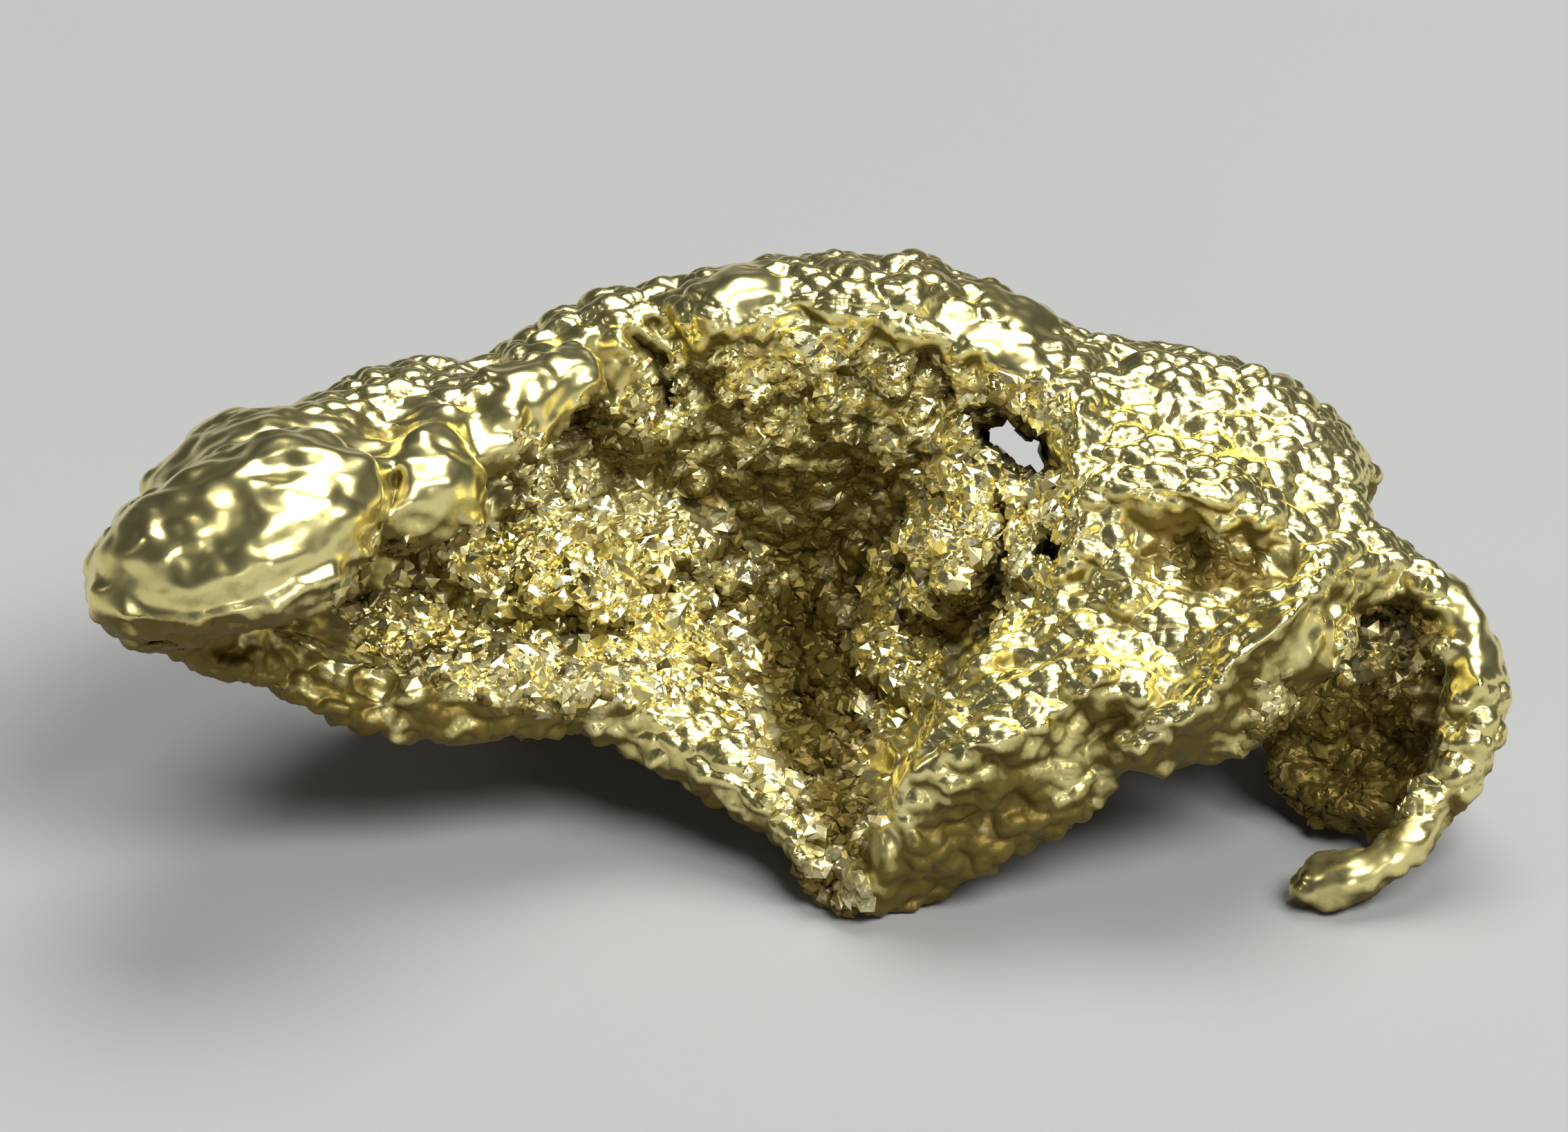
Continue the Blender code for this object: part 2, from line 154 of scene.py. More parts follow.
# The wedge under the arch runs along u, and its outline is in v and w.
ARCH_WEDGE_ENDS = (-3.2, 3.4)
ARCH_WEDGE = [(8.7, -1.7), (8.3, -1.2), (7.95, -1.35), (7.6, -1.7), (7.2, -2.15), (6.7, -2.7),
              (6.2, -3.2), (5.7, -3.7), (5.2, -4.15), (4.7, -4.5), (4.7, -4.6), (6.5, -4.5),
              (7.5, -4.3), (8.6, -3.5)]
# The wedge beside the left wall runs along v, and its outline is in u and w.
WALL_WEDGE_ENDS = (4.0, 8.6)
WALL_WEDGE = [(-2.9, -4.2), (-2.9, -3.2), (-2.3, -2.85), (-1.8, -3.05), (-1.2, -3.5),
              (-0.6, -3.95), (0.0, -4.3), (0.0, -4.55), (-1.5, -4.6)]
WEDGE_STATIONS = 13
WEDGE_ROOT = -4.0              # where a wedge flattens out
WEDGE_BLUNTNESS = 0.35         # below 1 the wedge rises fast at its ends and runs level between


def add_wedge(model, ends, outline, along_u):
    """A closed ramp, which flattens out at both ends."""
    rings = []
    for i in range(WEDGE_STATIONS):
        share = i / (WEDGE_STATIONS - 1)
        along = ends[0] + (ends[1] - ends[0]) * share
        rise = math.sin(math.pi * (0.04 + 0.92 * share)) ** WEDGE_BLUNTNESS
        rings.append([model.verts.new(from_plane(*((along, side) if along_u else (side, along)),
                                                 WEDGE_ROOT + (w - WEDGE_ROOT) * rise))
                      for side, w in outline])
    for ring, following in zip(rings, rings[1:]):
        for j in range(len(ring)):
            model.faces.new((ring[j - 1], ring[j], following[j], following[j - 1]))
    model.faces.new(rings[0][::-1])
    model.faces.new(rings[-1])


bench_mesh = solid.data.copy()
bench_mesh.transform(Matrix.Scale(1.0 / MM, 4))
bench_mesh.materials.clear()
filled = bmesh.new()
filled.from_mesh(bench_mesh)
for u, v, w, radius in WALL_BACKING + GAP_FILLS:
    bmesh.ops.create_icosphere(filled, subdivisions=3, radius=radius,
                               matrix=Matrix.Translation(from_plane(u, v, w)))
add_wedge(filled, ARCH_WEDGE_ENDS, ARCH_WEDGE, True)
add_wedge(filled, WALL_WEDGE_ENDS, WALL_WEDGE, False)
bmesh.ops.recalc_face_normals(filled, faces=filled.faces)
filled.to_mesh(bench_mesh)
filled.free()
skin = new_object("nugget_skin", bench_mesh)
print("filled with", len(WALL_BACKING + GAP_FILLS), "balls and 2 wedges")

# %% [markdown]
# ## Two ragged holes
# Where the leaf is thinnest, the stream has broken through.  A prism with uneven corners cuts
# each hole, as ragged as the real edge.  The holes are cut a little wide, because the net and
# the smoothing both close them by a few hundredths.

# %% Cutters for the holes
# Each hole: its middle (u, v), the radius of each corner in turn, and where w starts.
HOLES = {
    "through_hole": ((3.12, 6.72), (0.5, 0.44, 0.5, 0.62, 0.52, 0.66, 0.55, 0.38, 0.45, 0.62,
                                    0.68, 0.66), -6.0),
    "small_hole": ((3.56, 5.3), (0.27, 0.2, 0.28, 0.22, 0.3), -2.0),
}
CUTTER_LENGTH = 7.5


def ragged_cutter(name, middle, radii, from_w):
    """A many-cornered prism straight through the leaf along w."""
    model = bmesh.new()
    ring = []
    for i, radius in enumerate(radii):
        angle = math.tau * i / len(radii)
        ring.append(model.verts.new(from_plane(middle[0] + radius * math.cos(angle),
                                               middle[1] + radius * math.sin(angle), from_w)))
    grown = bmesh.ops.extrude_face_region(model, geom=[model.faces.new(ring)])["geom"]
    bmesh.ops.translate(model, vec=Vector(AXIS_W) * CUTTER_LENGTH,
                        verts=[part for part in grown if isinstance(part, bmesh.types.BMVert)])
    bmesh.ops.recalc_face_normals(model, faces=model.faces)
    mesh = bpy.data.meshes.new(name)
    model.to_mesh(mesh)
    model.free()
    return new_object(name, mesh)


cutters = [ragged_cutter(name, *values) for name, values in HOLES.items()]
print("cutters:", *[cutter.name for cutter in cutters])

# %% Remesh, cut the holes and smooth
SKIN_STEP = 0.042
MELT_ROUNDS = 30


def remesh(thing):
    """Lay an even net over a mesh."""
    net = thing.modifiers.new("Net", "REMESH")
    net.mode = "VOXEL"
    net.voxel_size = SKIN_STEP


remesh(skin)
settle(skin)
for cutter in cutters:
    hole = skin.modifiers.new("Hole", "BOOLEAN")
    hole.object = cutter
remesh(skin)
melt = skin.modifiers.new("Melt", "SMOOTH")
melt.factor = 0.5
melt.iterations = MELT_ROUNDS
settle(skin)
for cutter in cutters:
    bpy.data.objects.remove(cutter)
print("skin:", len(skin.data.vertices), "points")

# %% [markdown]
# ## Forms pressed in from the open side
# The nugget's folds, ledges and pockets are shaped like a relief on a coin: each is a stroke
# across the leaning plane that pushes what lies under it out along w, or in.  A ray finds
# where each stroke lands, and only what is near that landing moves, so that a stroke over the
# back wall leaves the thumb in front of it alone.

# %% Find what faces the open side
FAR_OUT = 30.0                 # further than any ray needs to go
RAY_LIFT = 0.12                # rays start this far off the surface
TURNED_AWAY = -0.1             # below this, a normal's share along w looks away


def seen_from_front(mesh, tree):
    """1 where nothing stands between the point and the open side."""
    out = Vector(AXIS_W)
    starts = points_of(mesh) + normals_of(mesh) * RAY_LIFT
    facing = normals_of(mesh) @ AXIS_W
    return np.array([0.0 if turn < TURNED_AWAY or tree.ray_cast(Vector(start), out, FAR_OUT)[0]
                     else 1.0 for start, turn in zip(starts, facing)])


def spread(mesh, values, rounds):
    """Blur values over the net, so that no patch ends in a hard line."""
    ends = np.empty(len(mesh.edges) * 2, np.int64)
    mesh.edges.foreach_get("vertices", ends)
    a, b = ends.reshape(-1, 2).T
    count = np.bincount(ends, minlength=len(values)).astype(float)
    for _ in range(rounds):
        total = np.bincount(a, values[b], len(values)) + np.bincount(b, values[a], len(values))
        values = 0.5 * values + 0.5 * total / count
    return values


def landing(tree, u, v):
    """Where a ray that comes straight in along w meets the nugget."""
    hit = tree.ray_cast(Vector(from_plane(u, v, FAR_OUT / 2)), Vector(-AXIS_W), FAR_OUT)[0]
    return np.array(hit) if hit else from_plane(u, v, 0.0)


print("ready to press forms")

# %% The strokes
# Each stroke: its points (u, v), its half width and its push, in millimetres.
FORMS = {
    "arch_ramp": ([(-2.0, 8.35), (-1.2, 8.6), (-0.5, 8.7), (0.5, 8.65), (1.5, 8.45), (2.5, 8.1),
                   (3.4, 7.7)], 0.5, 0.2),
    "wall_lump_left": ([(-0.9, 7.7), (-0.7, 7.3)], 0.3, 0.35),
    "wall_lump_middle": ([(0.3, 7.9), (0.5, 7.5)], 0.28, 0.35),
    "wall_lump_right": ([(1.35, 7.7), (1.6, 7.35)], 0.3, 0.35),
    "finger_cleft": ([(-2.3, 8.3), (-1.95, 8.0), (-1.9, 7.4)], 0.11, -0.4),
    "bright_heap": ([(-1.9, 5.0), (-1.2, 5.1), (-0.8, 4.8)], 0.45, 0.35),
    "floor_heap_left": ([(-4.9, 4.9), (-4.2, 4.5)], 0.4, 0.4),
    "floor_heap_middle": ([(-3.6, 4.9), (-3.0, 4.6)], 0.38, 0.45),
    "floor_heap_right": ([(-2.3, 4.2), (-1.6, 3.9)], 0.4, 0.4),
    "floor_bank": ([(-4.0, 3.6), (-3.0, 3.45), (-2.1, 3.4)], 0.35, 0.3),
    "floor_pit": ([(-2.6, 5.1), (-1.9, 4.55)], 0.2, -0.35),
    "trough_left_bank": ([(-1.3, 4.0), (-0.85, 3.3), (-0.7, 2.6)], 0.3, 0.3),
    "trough": ([(-0.1, 4.2), (0.0, 3.2), (0.4, 2.2), (0.6, 1.2)], 0.45, -0.3),
    "trough_right_bank": ([(1.4, 5.0), (1.35, 4.2), (1.3, 3.5)], 0.35, 0.4),
    "boulder": ([(2.55, 6.1), (2.6, 5.4), (2.2, 4.9)], 0.6, 0.75),
    "boulder_moat": ([(3.35, 5.9), (3.4, 5.2), (3.2, 4.7)], 0.18, -0.35),
    "flat_patch": ([(2.7, 4.45), (3.2, 4.4)], 0.35, -0.3),
    "hood_edge": ([(3.9, 7.2), (3.8, 6.4), (3.9, 5.6), (3.7, 4.8), (3.3, 4.2), (2.5, 3.7),
                   (1.8, 3.3)], 0.32, 0.35),
    "hood_brow": ([(4.6, 6.3), (5.4, 6.1), (6.3, 5.8), (7.1, 5.4)], 0.6, 0.35),
    "brow_saddle": ([(4.9, 7.3), (5.5, 7.0)], 0.45, -0.2),
    "pocket": ([(5.3, 4.9), (5.9, 4.85), (6.5, 4.85)], 0.28, 0.3),
    "pocket_knob": ([(5.95, 5.45), (6.05, 5.0)], 0.2, 0.2),
    "pocket_pit": ([(5.55, 5.3), (5.6, 5.1)], 0.15, -0.15),
    "left_lobe": ([(4.3, 5.0), (4.7, 4.8)], 0.35, 0.3),
    "left_lobe_pocket": ([(4.4, 4.2), (5.1, 4.3)], 0.3, -0.1),
    "high_ridge": ([(7.5, 4.9), (6.9, 4.35), (6.2, 3.8)], 0.3, 0.55),
    "ridge_gap": ([(4.25, 3.45), (4.75, 3.3)], 0.45, 1.0),
    "low_ridge": ([(5.9, 3.5), (5.3, 2.9), (4.7, 2.5)], 0.3, 0.5),
    "low_roll": ([(6.0, 3.25), (5.5, 2.75), (4.95, 2.35)], 0.2, 0.3),
    "ridge_boss": ([(7.0, 4.1), (7.4, 3.7)], 0.4, 0.3),
    "fold_ridge": ([(4.0, 3.1), (3.2, 2.7), (2.4, 2.55), (1.4, 2.4)], 0.28, 0.3),
    "fold_swirl": ([(1.35, 1.6), (1.5, 0.9), (2.0, 0.55), (2.4, 0.9)], 0.18, -0.15),
    "fold_groove": ([(2.2, 1.55), (3.0, 1.6), (3.6, 1.8)], 0.2, -0.12),
    "cup_mound": ([(7.4, 4.0), (8.2, 3.9)], 0.35, 0.35),
    "cup_recess": ([(8.3, 4.6), (9.0, 4.2)], 0.3, -0.35),
    "cup_floor": ([(6.9, 2.6), (7.6, 2.1)], 0.45, -0.2),
    "cup_band": ([(8.4, 3.3), (9.1, 3.35), (9.6, 3.4)], 0.2, 0.3),
    "thumb_notch": ([(-5.65, 6.9), (-5.6, 6.1), (-5.9, 5.4)], 0.16, -0.3),
    "thumb_shelf": ([(-9.3, 4.3), (-8.4, 4.2), (-7.2, 4.5), (-6.4, 4.9)], 0.2, 0.2),
    "thumb_undercut": ([(-8.9, 3.95), (-8.0, 3.8), (-7.0, 4.05), (-6.2, 4.5)], 0.2, -0.4),
    "lip_fold": ([(-7.9, 3.7), (-7.1, 3.2), (-6.3, 3.0)], 0.16, 0.22),
    "lip_hollow": ([(-7.2, 3.9), (-6.5, 3.5), (-5.8, 3.4)], 0.22, -0.3),
}
# The hook grows along its normals instead: its stroke, half width and growth.
HOOK_GROWTH = {
    "hook": ([(9.35, 3.0), (9.1, 2.0), (8.6, 1.35), (7.8, 0.7), (7.4, 0.45)], 0.7, 0.11),
}
print(len(FORMS), "strokes and", len(HOOK_GROWTH), "growth")

# %% Press the forms
DEPTH_EASE = 0.6               # a stroke reaches further along w than across it
THIN_LIMIT = 0.4               # the most of the leaf's thickness that a dent may take
JUST_INSIDE = 0.02             # a ray through the leaf starts this far under the surface
EDGE_ROUNDS = 6                # how softly the forms fade where the open side ends


def thickness(mesh, tree, ways):
    """How much gold lies behind each point, along its own way."""
    starts = points_of(mesh) + ways * JUST_INSIDE
    hits = [tree.ray_cast(Vector(start), Vector(way)) for start, way in zip(starts, ways)]
    return np.array([hit[3] if hit[0] else FAR_OUT for hit in hits])


def push_of(mesh, tree, strokes):
    """How far each point moves out along w."""
    u, v, w = to_plane(points_of(mesh))
    total = np.zeros(len(u))
    for line, width, push in strokes.values():
        places = [to_plane(landing(tree, *point)) for point in line]
        far = np.full(len(u), np.inf)
        for start, end in zip(places, places[1:]):
            along = np.array(end) - np.array(start)
            flat = along * (1.0, 1.0, 0.0)
            t = ((u - start[0]) * flat[0] + (v - start[1]) * flat[1]) / (flat @ flat)
            t = np.clip(t, 0.0, 1.0)
            off = np.sqrt((u - start[0] - along[0] * t) ** 2 + (v - start[1] - along[1] * t) ** 2
                          + (DEPTH_EASE * (w - start[2] - along[2] * t)) ** 2)
            far = np.minimum(far, off)
        total += push * np.exp(-(far / width) ** 2)
    return total


tree = tree_of(skin.data)
front = spread(skin.data, seen_from_front(skin.data, tree), EDGE_ROUNDS)
move_points(skin.data, normals_of(skin.data) * push_of(skin.data, tree, HOOK_GROWTH)[:, None])
push = front * push_of(skin.data, tree, FORMS)
deep = thickness(skin.data, tree, np.tile(-AXIS_W, (len(push), 1)))
push = np.maximum(push, -THIN_LIMIT * deep)
move_points(skin.data, push[:, None] * AXIS_W)
print("pushed from", round(float(push.min()), 2), "to",
      round(float(push.max()), 2), "mm")

# %% [markdown]
# ## Where each kind of surface lies
# The nugget has four kinds of surface: folds that are worn smooth, a sugary wall, coarser
# crystals on the hollow's floor, and pebbles everywhere else.  Each is marked out on the
# leaning plane as a few round patches, painted only on what faces the open side.

# %% Paint the patches
# Each patch: its middle (u, v), its radii and its turn in degrees.
WORN = [((-7.9, 5.5), (2.5, 1.75), 22), ((-5.3, 6.3), (1.1, 1.1), 25),
        ((-3.6, 7.45), (1.5, 0.6), 35), ((-0.65, 9.0), (0.55, 0.45), 0),
        ((3.3, 8.7), (0.6, 0.3), -30), ((2.9, 8.15), (0.9, 0.3), -28),
        ((1.3, 0.9), (0.3, 0.7), 10), ((1.4, 2.35), (0.6, 0.25), 5),
        ((8.1, 0.8), (1.2, 0.45), 25),
        ((9.6, 4.0), (0.4, 0.9), 0), ((7.1, 3.9), (0.5, 0.6), 30), ((5.6, 2.2), (0.8, 0.3), 10)]
SUGAR = [((0.2, 6.1), (2.2, 1.2), 0), ((0.4, 7.4), (2.5, 0.75), -3),
         ((-2.9, 6.2), (1.2, 1.1), 0), ((7.6, 2.5), (1.2, 1.4), 0), ((5.8, 5.1), (0.7, 0.35), 0)]
CRYSTAL = [((-3.4, 4.3), (2.7, 1.2), -5), ((-1.3, 4.9), (0.8, 0.8), 0),
           ((1.5, 4.2), (0.55, 1.2), 0), ((0.2, 3.3), (1.0, 1.8), 5), ((0.6, 1.2), (0.6, 1.1), 10),
           ((3.2, 5.9), (0.5, 0.7), 0), ((2.6, 5.5), (0.85, 1.25), 0),
           ((-2.2, 7.2), (0.3, 0.5), 0), ((3.4, 7.4), (0.4, 0.4), 0), ((8.4, 3.9), (0.7, 0.5), 0)]
PATCH_EDGE = 0.35              # how wide a patch's edge fades, as a share of its radius
MASK_ROUNDS = 10               # how often the masks are blurred over the net
PATCH_RAGGED = (0.6, 0.35)     # the patches' edges wander: width and size of the waves


def each(points, width, rule):
    """A rule of Blender's noise, worked out at many points."""
    return np.array([rule(Vector(place)) for place in points / width])


def patch(u, v, marks, edge=PATCH_EDGE):
    """How far inside a set of round patches each place is, 0 to 1."""
    inside = np.zeros(len(u))
    for (mu, mv), (ru, rv), turn_deg in marks:
        turn = math.radians(turn_deg)
        along = (u - mu) * math.cos(turn) + (v - mv) * math.sin(turn)
        across = (v - mv) * math.cos(turn) - (u - mu) * math.sin(turn)
        far = np.sqrt((along / ru) ** 2 + (across / rv) ** 2)
        inside = np.maximum(inside, np.clip((1.0 - far) / edge + 0.5, 0.0, 1.0))
    return inside


tree = tree_of(skin.data)
front = seen_from_front(skin.data, tree)
U, V, W = to_plane(points_of(skin.data))
ragged = PATCH_RAGGED[1] * each(points_of(skin.data), PATCH_RAGGED[0], noise.noise)
worn, sugar, crystal = (
    spread(skin.data, front * patch(U + ragged, V - ragged, marks), MASK_ROUNDS)
    for marks in (WORN, SUGAR, CRYSTAL))
sugar *= 1.0 - worn
crystal *= 1.0 - worn
pebble = np.clip(1.0 - worn - sugar - crystal, 0.0, 1.0)
for kind, mask in (("worn", worn), ("sugar", sugar), ("crystal", crystal), ("pebble", pebble)):
    print(kind, "share", round(float(mask.mean()), 3))

# %% [markdown]
# ## Relief: crumples, pebbles and worn dimples
# Blender's own noise functions give a height at every point, and each kind of surface mixes
# them its own way.  Voronoi cells with a crease along their borders make pebbles that lie
# close, like cobbles, and smaller cells make the gravel of the hollow.  Smooth noise makes the
# crumples of the leaf and the dimples of a worn fold.  Moving the points for real, and not
# only shading them, keeps the outline true and the pits dark.

# %% Height functions
# Each is a width and a height, in millimetres.
CRUMPLE = (1.6, 0.1)           # the whole leaf
FOLD = (0.7, 0.08)
LUMP = (0.6, 0.22)             # heaps of crystals
COBBLE = (0.28, 0.2)           # pebbles, wherever nothing rubs
GRAVEL = (0.13, 0.06)          # finer ones, in the hollow and on undersides
DIMPLE = (0.55, 0.11)          # worn folds
RIPPLE = (0.27, 0.035)         # worn folds, finer
PLEAT = (0.38, 0.22)           # folds that hang under the arch
UNDERFOLD = (0.32, 0.15)       # creases of the undersides
PIT = (0.7, 0.2)               # how far apart pits may lie, and how deep they are
PIT_SHARE = 0.25               # of the places where one could be
PIT_RADIUS = 0.26              # as a share of their spacing
STEEP_WALL = [((0.2, 6.6), (2.6, 2.2), 0)]
WALL_EDGE = 1.2                # it fades as slowly as this into the rest
WALL_DEPTH = -2.8              # the steep wall's middle, along w
WALL_FLATTEN = 0.6             # how much of its depth the patterns leave out


def round_lump(p):
    """A round dome over each Voronoi cell, creased at its borders."""
    far = noise.voronoi(p)[0][0] / 0.8
    return math.sqrt(max(0.0, 1.0 - far * far)) - 0.6


def cobble(p):
    """A flat dome in each Voronoi cell, creased where it meets the next."""
    return 0.3 - noise.voronoi(p)[0][0] ** 2


def deep_pit(p):
    """1 at the middle of a few Voronoi cells and 0 elsewhere."""
    near, centres = noise.voronoi(p)
    chosen = noise.cell(centres[0] * 5.1) * 0.5 + 0.5 < PIT_SHARE
    return math.exp(-(near[0] / PIT_RADIUS) ** 2) if chosen else 0.0


def evened(mesh, wall):
    """The mesh's points with less depth on the steep wall, so that patterns don't look squeezed."""
    depth = to_plane(points_of(mesh))[2]
    return points_of(mesh) + (WALL_FLATTEN * wall * (WALL_DEPTH - depth))[:, None] * AXIS_W


def raise_by(mesh, height):
    """Move every point along its normal, without piercing the leaf."""
    ways = normals_of(mesh)
    room = THIN_LIMIT * thickness(mesh, tree_of(mesh), -ways)
    move_points(mesh, ways * np.maximum(height, -room)[:, None])


print("height functions ready")

# %% Raise the relief
PLEATED = [((0.5, 7.6), (2.7, 0.8), -3)]
WARP = (0.35, 0.08)            # bends the cells' borders: width and size of the waves
DRAWN_OUT = np.array((0.72, 1.0, 1.0))         # pebbles run a little along the nugget
UNDERSIDE_GAIN = 2.5
UNDERSIDE_ROUNDS = 4

U, V, W = to_plane(points_of(skin.data))
pleated = spread(skin.data, front * patch(U, V, PLEATED), MASK_ROUNDS)
wall = spread(skin.data, front * patch(U, V, STEEP_WALL, WALL_EDGE), MASK_ROUNDS)
slanted = np.column_stack((U - 0.45 * V, 0.4 * V + 0.25 * U, 0.4 * W))
places = evened(skin.data, wall)
slow = CRUMPLE[1] * each(places, CRUMPLE[0], noise.noise)
slow += FOLD[1] * (1.0 - 0.3 * worn) * each(places, FOLD[0], noise.noise)
slow += PLEAT[1] * pleated * each(slanted, PLEAT[0], noise.noise)
raise_by(skin.data, slow)

places = evened(skin.data, wall)
places = places + WARP[1] * each(places, WARP[0], noise.noise_vector)
drawn = places * DRAWN_OUT
lumpy = 0.1 * pebble + 0.3 * sugar + 1.3 * crystal
under = np.clip(-UNDERSIDE_GAIN * normals_of(skin.data)[:, 2], 0.0, 1.0)
under = front * spread(skin.data, under, UNDERSIDE_ROUNDS)
quick = LUMP[1] * lumpy * each(places, LUMP[0], round_lump)
quick += COBBLE[1] * (1.0 - worn) * each(drawn, COBBLE[0], cobble)
quick += GRAVEL[1] * (sugar + crystal + 0.6 * under) * each(places, GRAVEL[0], cobble)
quick += UNDERFOLD[1] * under * each(places, UNDERFOLD[0], noise.noise)
quick += DIMPLE[1] * worn * each(drawn, DIMPLE[0], noise.noise)
quick += RIPPLE[1] * worn * each(drawn, RIPPLE[0], noise.noise)
quick -= PIT[1] * each(places, PIT[0], deep_pit) * (0.2 * pebble + sugar + crystal)
raise_by(skin.data, quick)
print("relief from", round(float(quick.min()), 3), "to", round(float(quick.max()), 3), "mm")

# %% [markdown]
# ## Thin the net
# The open side keeps nearly every point, because its pebbles are only a quarter of a
# millimetre wide.  The far side gets by with fewer.

# %% Thin the net
SKIN_FACES = 570000
BACK_KEEP = 0.45               # how strongly the far side is kept, where the open side is 1
WORN_SPARE = 0.4               # worn folds are smooth and need fewer points
LEVELS = 8

keep_layer(skin.data, "worn", worn)
keep = BACK_KEEP + (1.0 - BACK_KEEP) * spread(skin.data, front, 10)
keep *= 1.0 - WORN_SPARE * worn
thin_here = skin.vertex_groups.new(name="thin_here")
for level in range(LEVELS):
    chosen = np.flatnonzero(np.minimum((keep * LEVELS).astype(int), LEVELS - 1) == level)
    thin_here.add(chosen.tolist(), 1.0 - level / LEVELS, "REPLACE")
fewer = skin.modifiers.new("Fewer", "DECIMATE")
fewer.ratio = SKIN_FACES / (2.0 * len(skin.data.polygons))
fewer.use_collapse_triangulate = True
fewer.vertex_group = thin_here.name
settle(skin)
skin.vertex_groups.clear()
print("skin faces:", len(skin.data.polygons))

# %% [markdown]
# ## How sheltered each point is
# Crevices of a real nugget stay dark: light bounces many times in them and river dirt stays
# put.  Rays from each point measure how much open sky it has, close by for the crevices and
# further out for the hollow.  Both are kept as attributes of the mesh, which the finish reads
# and paints into the colour as shade: the more sheltered a point, the darker it is painted.

# %% Measure the shelter
SHELTER_RAYS = 26
NEAR_REACH = 0.8               # a wall this close makes a crevice
FAR_REACH = 5.0                # and one this close makes a hollow
GRAZING = 0.15                 # rays that rise less than this from the surface are left out
JUST_OUTSIDE = 0.02            # rays start this far over the surface


def ball_directions(count):
    """Evenly spread directions, along a spiral from pole to pole."""
    turns = np.arange(count) + 0.5
    height = 1.0 - 2.0 * turns / count
    angle = turns * math.pi * (3.0 - math.sqrt(5.0))
    ring = np.sqrt(1.0 - height ** 2)
    return np.column_stack((ring * np.cos(angle), ring * np.sin(angle), height))


def shelter_of(mesh, tree):
    """How much of the sky is walled off near each point, and how much further out."""
    directions = ball_directions(SHELTER_RAYS)
    ways = [Vector(way) for way in directions]
    close, far = [], []
    for start, normal in zip(points_of(mesh), normals_of(mesh)):
        lifts = directions @ normal
        above = np.flatnonzero(lifts > GRAZING)
        from_here = Vector(start + normal * JUST_OUTSIDE)
        hits = [tree.ray_cast(from_here, ways[i], FAR_REACH)[3] for i in above]
        share = lifts[above] / lifts[above].sum()
        close.append(sum(s for s, hit in zip(share, hits) if hit is not None and hit < NEAR_REACH))
        far.append(sum(s for s, hit in zip(share, hits) if hit is not None))
    return np.array(close), np.array(far)


skin_tree = tree_of(skin.data)
# The near share paints shade into crevices, and the far share paints shade into the hollow.
crevice_shade, hollow = shelter_of(skin.data, skin_tree)
print("mean crevice", round(float(crevice_shade.mean()), 3), "and mean hollow",
      round(float(hollow.mean()), 3))

# %% Paint the dirt and the shade
# Where river dirt has stayed or even caked, and where it was rubbed off again.  The same patches
# also paint shade into dark places and light into bright ones, and what faces down is painted
# darker as shade.
STAINS_AND_SHADE = [((0.2, 5.6), (1.7, 1.3), 0), ((0.2, 3.3), (0.8, 1.6), 5), ((2.6, 1.1), (1.6, 1.0), 25),
           ((5.5, 2.9), (1.75, 0.4), 23), ((-4.4, 3.1), (2.2, 0.35), 0),
           ((7.6, 2.4), (1.3, 1.5), 0), ((5.9, 5.05), (0.7, 0.3), 0), ((-5.0, 5.3), (0.8, 0.4), 15),
           ((2.9, 4.45), (0.5, 0.35), 0), ((-2.2, 7.8), (0.25, 0.5), 0),
           ((3.35, 5.1), (0.2, 0.4), 0), ((-2.7, 6.0), (1.0, 1.0), 0)]
CAKED_DIRT_AND_SHADE = [((0.2, 3.4), (0.7, 1.5), 5), ((0.6, 1.2), (0.6, 1.0), 10), ((7.7, 2.2), (1.1, 1.2), 0),
         ((2.7, 1.0), (1.5, 0.75), 25), ((2.4, 1.0), (1.2, 0.6), 25),
         ((-7.1, 3.3), (1.8, 0.4), -25), ((-4.5, 3.0), (2.2, 0.35), 3),
         ((5.8, 5.0), (0.55, 0.25), 0)]
RUBBED_AND_LIT = [((-3.4, 4.4), (2.2, 1.1), -5), ((1.5, 4.2), (0.5, 1.2), 0), ((2.6, 5.6), (0.9, 1.3), 0),
          ((0.4, 7.8), (2.5, 0.9), -3), ((8.2, 3.9), (0.5, 0.3), 0)]
STAIN_AND_SHADE_GAIN = 0.3
CAKE_AND_SHADE_GAIN = 1.1
RUB_AND_LIGHT_GAIN = 0.65
UNDERSIDE_SHADE_GAIN = 2.2               # painted shade on what faces down
SHADE_BELOW_RISE = 0.25                   # a normal that rises less than this is painted darker as shade
DIRT_AND_SHADE_EDGE = 0.9
DIRT_AND_SHADE_RAGGED = (0.5, 0.6)
CREVICE_ROUNDS = 1
DIRT_AND_SHADE_ROUNDS = 8

U, V, W = to_plane(points_of(skin.data))
front = seen_from_front(skin.data, skin_tree)
# Painted shade: what faces down is darkened in the colour.
shaded_below = np.clip(SHADE_BELOW_RISE - normals_of(skin.data)[:, 2], 0.0, 1.0)
ragged = DIRT_AND_SHADE_RAGGED[1] * each(points_of(skin.data), DIRT_AND_SHADE_RAGGED[0], noise.noise)
# The stain and cake patches paint river dirt and also painted shade; the rubbed patches take dirt
# and shade away, as painted light.
stain_and_shade, cake_and_shade, rubbed = (patch(U + ragged, V - ragged, marks, DIRT_AND_SHADE_EDGE)
                          for marks in (STAINS_AND_SHADE, CAKED_DIRT_AND_SHADE, RUBBED_AND_LIT))
painted = STAIN_AND_SHADE_GAIN * stain_and_shade + CAKE_AND_SHADE_GAIN * cake_and_shade - RUB_AND_LIGHT_GAIN * rubbed
